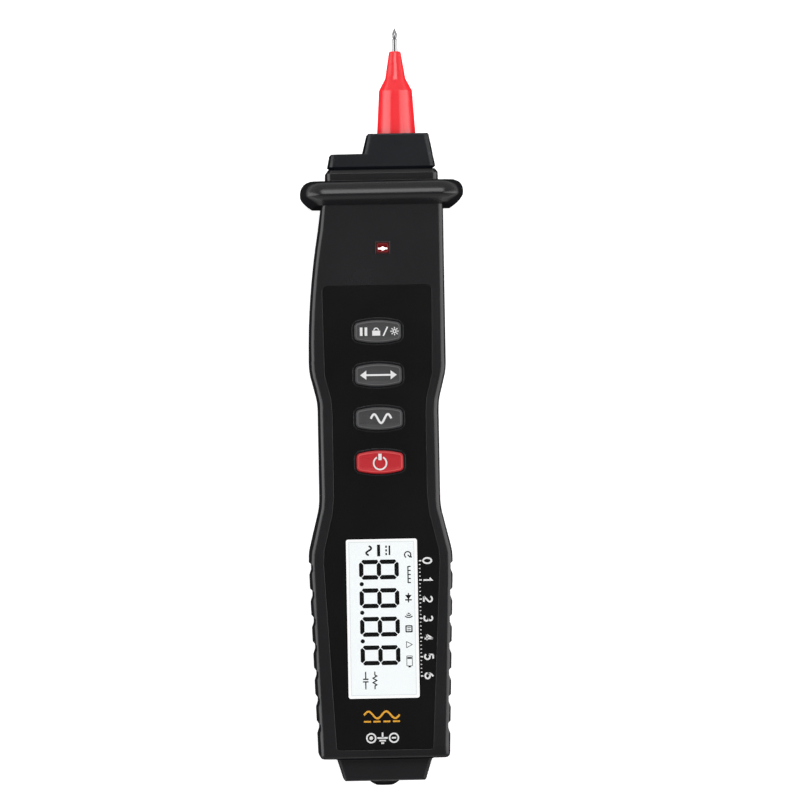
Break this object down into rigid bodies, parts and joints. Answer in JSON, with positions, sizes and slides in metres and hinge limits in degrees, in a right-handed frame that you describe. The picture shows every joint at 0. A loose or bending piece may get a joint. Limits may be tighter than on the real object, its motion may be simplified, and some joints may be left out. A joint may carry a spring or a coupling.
{
  "type": "pen multimeter",
  "caption": "Pen-shaped multimeter with a built-in probe needle, finger guard, lit display, push keys, a tail socket for the other lead and a sliding battery cover.",
  "frame": {"origin": "on the table under the middle of the box round the whole meter, which lies on its back", "axes": "+Y from the tail socket to the probe tip, +Z out of the display, +X to the right of someone who reads the keys with the probe pointing away"},
  "size_m": [0.0444, 0.207, 0.031],
  "materials": {
    "shell": "satin, fine grain",
    "panel": "matt printed film",
    "window": "clear",
    "indicator_red": "clear red",
    "lcd": "polarised",
    "white_plastic": "milky",
    "black_plastic": "matt",
    "elastomer": "striped",
    "board": "solder mask",
    "resistor": "lacquer",
    "thermistor": "lacquer",
    "steel": "bright",
    "capacitor": "sleeve",
    "brass": "bright",
    "red_sleeve": "smooth",
    "cell_wrap": "printed wrap, no lettering",
    "nickel": "nickel plated",
    "key_grey": "satin",
    "key_red": "satin"
  },
  "bodies": {
    "housing": {"front_shell": "shell", "rear_shell": "shell", "nose_cap": "shell", "face_panel": "panel", "display_window": "window", "indicator_lens": "indicator_red", "lcd_glass": "lcd", "lcd_backlight": "white_plastic", "lcd_frame": "black_plastic", "zebra_strips": "elastomer", "main_board": "board", "meter_chip": "black_plastic", "input_resistors": "resistor", "input_thermistor": "thermistor", "crystal": "steel", "capacitors": "capacitor", "buzzer": "black_plastic", "indicator_led": "indicator_red", "backlight_transistor": "black_plastic", "ncv_antenna": "brass", "probe_sleeve": "red_sleeve", "probe_needle": "steel", "probe_terminal": "brass", "socket_collar": "shell", "com_socket": "brass", "left_cell": "cell_wrap", "right_cell": "cell_wrap", "tail_contact": "nickel", "left_top_contact": "nickel", "right_top_contact": "nickel", "left_cell_spring": "nickel", "right_cell_spring": "nickel", "case_screws": "steel", "hold_switch": "black_plastic", "select_switch": "black_plastic", "hertz_switch": "black_plastic", "power_switch": "black_plastic"},
    "battery_door": {"battery_cover": "shell", "cover_screw": "steel"},
    "hold_key": {"hold_button": "key_grey", "hold_plunger": "white_plastic"},
    "select_key": {"select_button": "key_grey", "select_plunger": "white_plastic"},
    "hertz_key": {"hertz_button": "key_grey", "hertz_plunger": "white_plastic"},
    "power_key": {"power_button": "key_red", "power_plunger": "white_plastic"}
  },
  "joints": [
    {"name": "hold_press", "type": "slide", "parent": "housing", "child": "hold_key", "axis": [0, 0, -1], "range_m": [0, 0.0005], "stiffness_N_per_m": 400},
    {"name": "select_press", "type": "slide", "parent": "housing", "child": "select_key", "axis": [0, 0, -1], "range_m": [0, 0.0005], "stiffness_N_per_m": 400},
    {"name": "hertz_press", "type": "slide", "parent": "housing", "child": "hertz_key", "axis": [0, 0, -1], "range_m": [0, 0.0005], "stiffness_N_per_m": 400},
    {"name": "power_press", "type": "slide", "parent": "housing", "child": "power_key", "axis": [0, 0, -1], "range_m": [0, 0.0005], "stiffness_N_per_m": 400},
    {"name": "cover_slide", "type": "slide", "parent": "housing", "child": "battery_door", "axis": [0, -1, 0], "range_m": [0, 0.052]}
  ]
}
